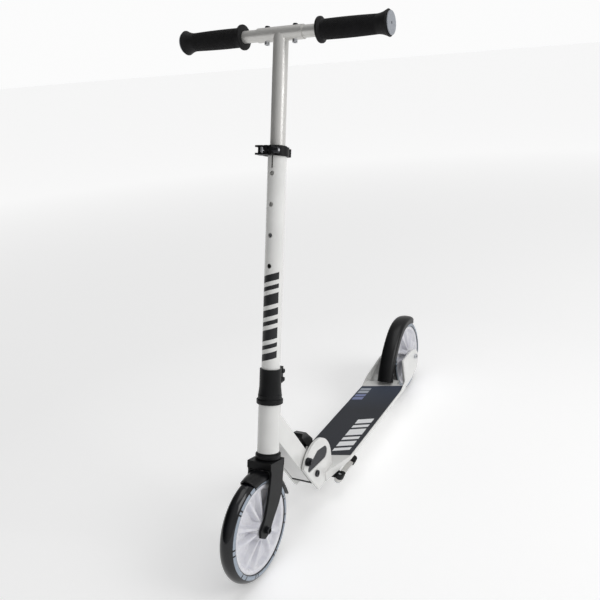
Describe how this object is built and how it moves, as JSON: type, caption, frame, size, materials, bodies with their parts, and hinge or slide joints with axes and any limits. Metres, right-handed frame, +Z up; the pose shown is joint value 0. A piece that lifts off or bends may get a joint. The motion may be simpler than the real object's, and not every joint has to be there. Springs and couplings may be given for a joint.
{
  "type": "kick scooter",
  "caption": "Folding kick scooter: two wheels, telescopic steering column with handlebar, flat deck, foot brake mudguard and side kickstand.",
  "frame": {"origin": "on the ground, below the middle of the scooter's footprint", "axes": "+Z up, the scooter rides towards -Y, and +X is the rider's left"},
  "size_m": [0.428, 0.986, 0.9826],
  "materials": {
    "white_paint": "gloss",
    "silver_paint": "satin",
    "black_satin_metal": "satin",
    "black_plastic": "satin",
    "black_steel": "satin",
    "bright_steel": "satin",
    "grip_tape": "matt",
    "dark_insert": "matt",
    "grip_rubber": "matt",
    "grey_plastic": "satin",
    "wheel_core": "gloss",
    "tyre": "gloss"
  },
  "bodies": {
    "deck": {"fold_plate_left": "white_paint", "fold_plate_right": "white_paint", "fold_inserts": "dark_insert", "pivot_bolt": "black_steel", "pivot_nut": "black_steel", "lock_pin": "black_steel", "bumper_bar": "black_plastic", "deck_board": "white_paint", "deck_nose": "white_paint", "grip_tape": "grip_tape", "rear_plate_left": "white_paint", "rear_plate_right": "white_paint", "rear_axle": "black_steel", "rear_axle_nut": "black_steel", "rear_spacers": "bright_steel", "brake_bracket": "white_paint", "brake_pin": "bright_steel", "brake_spring": "bright_steel", "kickstand_bracket": "black_satin_metal", "kickstand_bolt": "bright_steel"},
    "front_frame": {"head_tube": "white_paint", "down_tube": "white_paint", "headset_bearings": "bright_steel", "pivot_bushes": "black_plastic", "lever_pin": "bright_steel"},
    "fold_lever": {"fold_lever": "black_plastic"},
    "steerer": {"fork": "black_satin_metal", "front_mudguard": "black_plastic", "lower_headset_ring": "black_satin_metal", "upper_headset_cover": "black_satin_metal", "lower_clamp": "black_satin_metal", "clamp_bolts": "black_steel", "lower_column": "white_paint", "height_bush": "black_plastic", "qr_collar": "black_satin_metal", "qr_skewer": "bright_steel", "qr_nut": "bright_steel", "front_axle": "black_steel", "front_axle_nut": "black_steel", "front_spacers": "bright_steel"},
    "qr_lever": {"qr_lever": "black_plastic"},
    "handlebar": {"upper_column": "silver_paint", "guide_plug": "black_plastic", "handle_tubes": "silver_paint", "grip_left": "grip_rubber", "grip_right": "grip_rubber", "grip_end_caps": "grey_plastic", "handle_bolts": "black_steel", "handle_nuts": "bright_steel", "button_spring": "bright_steel"},
    "snap_button": {"snap_button": "bright_steel"},
    "front_wheel": {"front_core": "wheel_core", "front_tyre": "tyre", "front_bearings": "bright_steel"},
    "rear_wheel": {"rear_core": "wheel_core", "rear_tyre": "tyre", "rear_bearings": "bright_steel"},
    "rear_mudguard": {"rear_mudguard": "black_plastic"},
    "kickstand": {"kickstand_leg": "black_satin_metal", "kickstand_foot": "grip_rubber"}
  },
  "joints": [
    {"name": "fold_hinge", "type": "hinge", "parent": "deck", "child": "front_frame", "pos_m": [0, -0.201, 0.098], "axis": [-1, 0, 0], "range_deg": [0, 74]},
    {"name": "fold_lever_hinge", "type": "hinge", "parent": "front_frame", "child": "fold_lever", "pos_m": [0, -0.20135, 0.15185], "axis": [1, 0, 0], "range_deg": [0, 8], "stiffness_Nm_per_rad": 0.3, "springref_deg": -17.19},
    {"name": "steering", "type": "hinge", "parent": "front_frame", "child": "steerer", "pos_m": [0, -0.30723, 0.26287], "axis": [0, 0.2706, 0.9627], "range_deg": [-60, 60]},
    {"name": "height_slide", "type": "slide", "parent": "steerer", "child": "handlebar", "axis": [0, 0.2706, 0.9627], "range_m": [-0.0563, 0.1126]},
    {"name": "qr_lever_hinge", "type": "hinge", "parent": "steerer", "child": "qr_lever", "pos_m": [-0.015, -0.19537, 0.7643], "axis": [0, 0.2706, 0.9627], "range_deg": [0, 90]},
    {"name": "snap_button_slide", "type": "slide", "parent": "handlebar", "child": "snap_button", "axis": [0, 0.9627, -0.2706], "range_m": [0, 0.004], "stiffness_N_per_m": 500, "springref_m": -0.002},
    {"name": "front_wheel_spin", "type": "hinge", "parent": "steerer", "child": "front_wheel", "pos_m": [0, -0.393, 0.1], "axis": [1, 0, 0], "continuous": true},
    {"name": "rear_wheel_spin", "type": "hinge", "parent": "deck", "child": "rear_wheel", "pos_m": [0, 0.393, 0.1], "axis": [1, 0, 0], "continuous": true},
    {"name": "brake_hinge", "type": "hinge", "parent": "deck", "child": "rear_mudguard", "pos_m": [0, 0.267, 0.1], "axis": [-1, 0, 0], "range_deg": [0, 3], "stiffness_Nm_per_rad": 3, "springref_deg": -8.59},
    {"name": "kickstand_hinge", "type": "hinge", "parent": "deck", "child": "kickstand", "pos_m": [0.042, -0.131, 0.043], "axis": [-0.4226, 0, -0.9063], "range_deg": [0, 90]}
  ]
}
